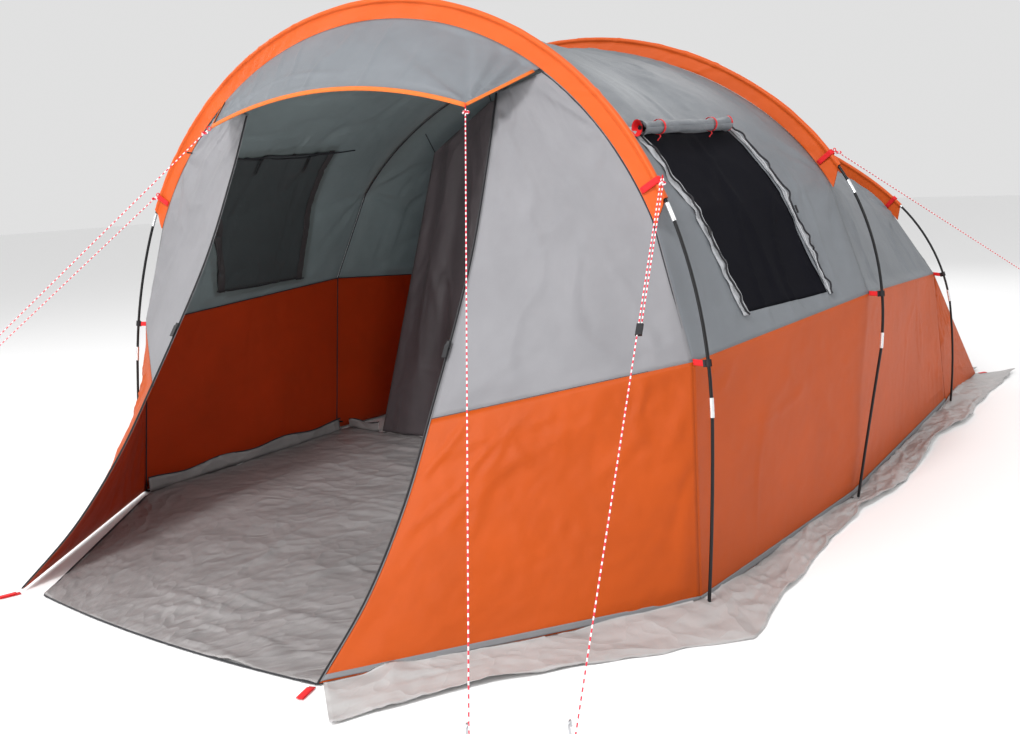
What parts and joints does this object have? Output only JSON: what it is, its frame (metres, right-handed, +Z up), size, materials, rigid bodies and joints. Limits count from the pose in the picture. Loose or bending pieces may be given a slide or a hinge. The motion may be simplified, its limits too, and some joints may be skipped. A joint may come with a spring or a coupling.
{
  "type": "tunnel tent",
  "caption": "Tunnel tent with a covered porch, arched poles in sleeves, mesh side windows, a hung bedroom, groundsheet, mud flaps and taut guy lines.",
  "frame": {"origin": "on the ground, in the middle of the tent with its mud flaps", "axes": "+Z up, -Y is the front with the porch, +X is the right as seen from the front"},
  "size_m": [4.4434, 5.459, 1.9627],
  "materials": {
    "pole_fibreglass": "satin black glass-fibre rod",
    "ferrule_metal": "satin",
    "elastic_black": "braided elastic",
    "pin_steel": "zinc plated",
    "webbing_black": "woven webbing",
    "sleeve_orange": "coated polyester",
    "webbing_red": "woven webbing",
    "clip_black": "moulded",
    "ring_red": "knotted cord",
    "fly_grey": "coated polyester, crinkled",
    "fly_orange": "coated polyester, crinkled",
    "flap_grey": "crinkled polyethylene sheet",
    "groundsheet_grey": "woven polyethylene sheet",
    "room_charcoal": "breathable polyester",
    "mesh_black": "fine mesh",
    "zip_black": "coil zip on tape",
    "guy_red_white": "braided cord with a fleck"
  },
  "bodies": {
    "tent": {"front_pole": "pole_fibreglass", "middle_pole": "pole_fibreglass", "rear_pole": "pole_fibreglass", "pole_ferrules": "ferrule_metal", "shock_cords": "elastic_black", "bedroom_hooks": "elastic_black", "groundsheet_hooks": "elastic_black", "foot_pins": "pin_steel", "pegs": "pin_steel", "foot_webbing": "webbing_black", "roll_ties": "webbing_black", "front_sleeve": "sleeve_orange", "middle_sleeve": "sleeve_orange", "rear_sleeve": "sleeve_orange", "sleeve_straps": "webbing_red", "clip_straps": "webbing_red", "corner_straps": "webbing_red", "pole_clips": "clip_black", "guy_rings": "ring_red", "living_roof": "fly_grey", "bedroom_roof": "fly_grey", "rear_roof": "fly_grey", "porch_upper_right": "fly_grey", "porch_upper_left": "fly_grey", "awning": "fly_grey", "rolled_door": "fly_grey", "window_cover_left": "fly_grey", "window_roll_right": "fly_grey", "lower_wall_right": "fly_orange", "lower_wall_left": "fly_orange", "rear_wall": "fly_orange", "porch_lower_right": "fly_orange", "porch_lower_left": "fly_orange", "mud_flaps": "flap_grey", "groundsheet": "groundsheet_grey", "bedroom_floor": "groundsheet_grey", "bedroom_shell": "room_charcoal", "bedroom_front": "room_charcoal", "bedroom_door_roll": "room_charcoal", "window_mesh_right": "mesh_black", "window_mesh_left": "mesh_black", "door_zips": "zip_black", "window_zips_right": "zip_black", "window_zips_left": "zip_black", "guy_awning_right": "guy_red_white", "guy_awning_left": "guy_red_white", "guy_front_right": "guy_red_white", "guy_front_left": "guy_red_white", "guy_middle_right": "guy_red_white"},
    "door_slider_right_body": {"door_slider_right": "clip_black"},
    "door_slider_left_body": {"door_slider_left": "clip_black"},
    "window_slider_right_front_body": {"window_slider_right_front": "clip_black"},
    "window_slider_right_back_body": {"window_slider_right_back": "clip_black"},
    "window_slider_left_front_body": {"window_slider_left_front": "clip_black"},
    "window_slider_left_back_body": {"window_slider_left_back": "clip_black"},
    "runner_front_right_body": {"runner_front_right": "clip_black"},
    "runner_awning_left_body": {"runner_awning_left": "clip_black"},
    "runner_front_left_body": {"runner_front_left": "clip_black"},
    "runner_middle_right_body": {"runner_middle_right": "clip_black"}
  },
  "joints": [
    {"name": "door_slider_right_slide", "type": "slide", "parent": "tent", "child": "door_slider_right_body", "axis": [-0.0543, 0.537, 0.8418], "range_m": [-0.15, 0.15]},
    {"name": "door_slider_left_slide", "type": "slide", "parent": "tent", "child": "door_slider_left_body", "axis": [0.0543, 0.537, 0.8418], "range_m": [-0.15, 0.15]},
    {"name": "window_slider_right_front_slide", "type": "slide", "parent": "tent", "child": "window_slider_right_front_body", "axis": [0.3615, -0.0852, -0.9285], "range_m": [-0.05, 0.3]},
    {"name": "window_slider_right_back_slide", "type": "slide", "parent": "tent", "child": "window_slider_right_back_body", "axis": [0.4038, -0.1113, -0.9081], "range_m": [-0.05, 0.3]},
    {"name": "window_slider_left_front_slide", "type": "slide", "parent": "tent", "child": "window_slider_left_front_body", "axis": [-0.334, -0.0909, -0.9382], "range_m": [-0.28, 0.03]},
    {"name": "window_slider_left_back_slide", "type": "slide", "parent": "tent", "child": "window_slider_left_back_body", "axis": [-0.3671, -0.116, -0.9229], "range_m": [-0.28, 0.03]},
    {"name": "runner_front_right_slide", "type": "slide", "parent": "tent", "child": "runner_front_right_body", "axis": [0.2079, -0.6755, -0.7074], "range_m": [-0.4, 0.3]},
    {"name": "runner_awning_left_slide", "type": "slide", "parent": "tent", "child": "runner_awning_left_body", "axis": [-0.5712, -0.493, -0.6562], "range_m": [-0.6, 0.2]},
    {"name": "runner_front_left_slide", "type": "slide", "parent": "tent", "child": "runner_front_left_body", "axis": [-0.4783, -0.5906, -0.65], "range_m": [-0.6, 0.2]},
    {"name": "runner_middle_right_slide", "type": "slide", "parent": "tent", "child": "runner_middle_right_body", "axis": [0.3504, 0.8381, -0.418], "range_m": [-0.6, 0.2]}
  ]
}
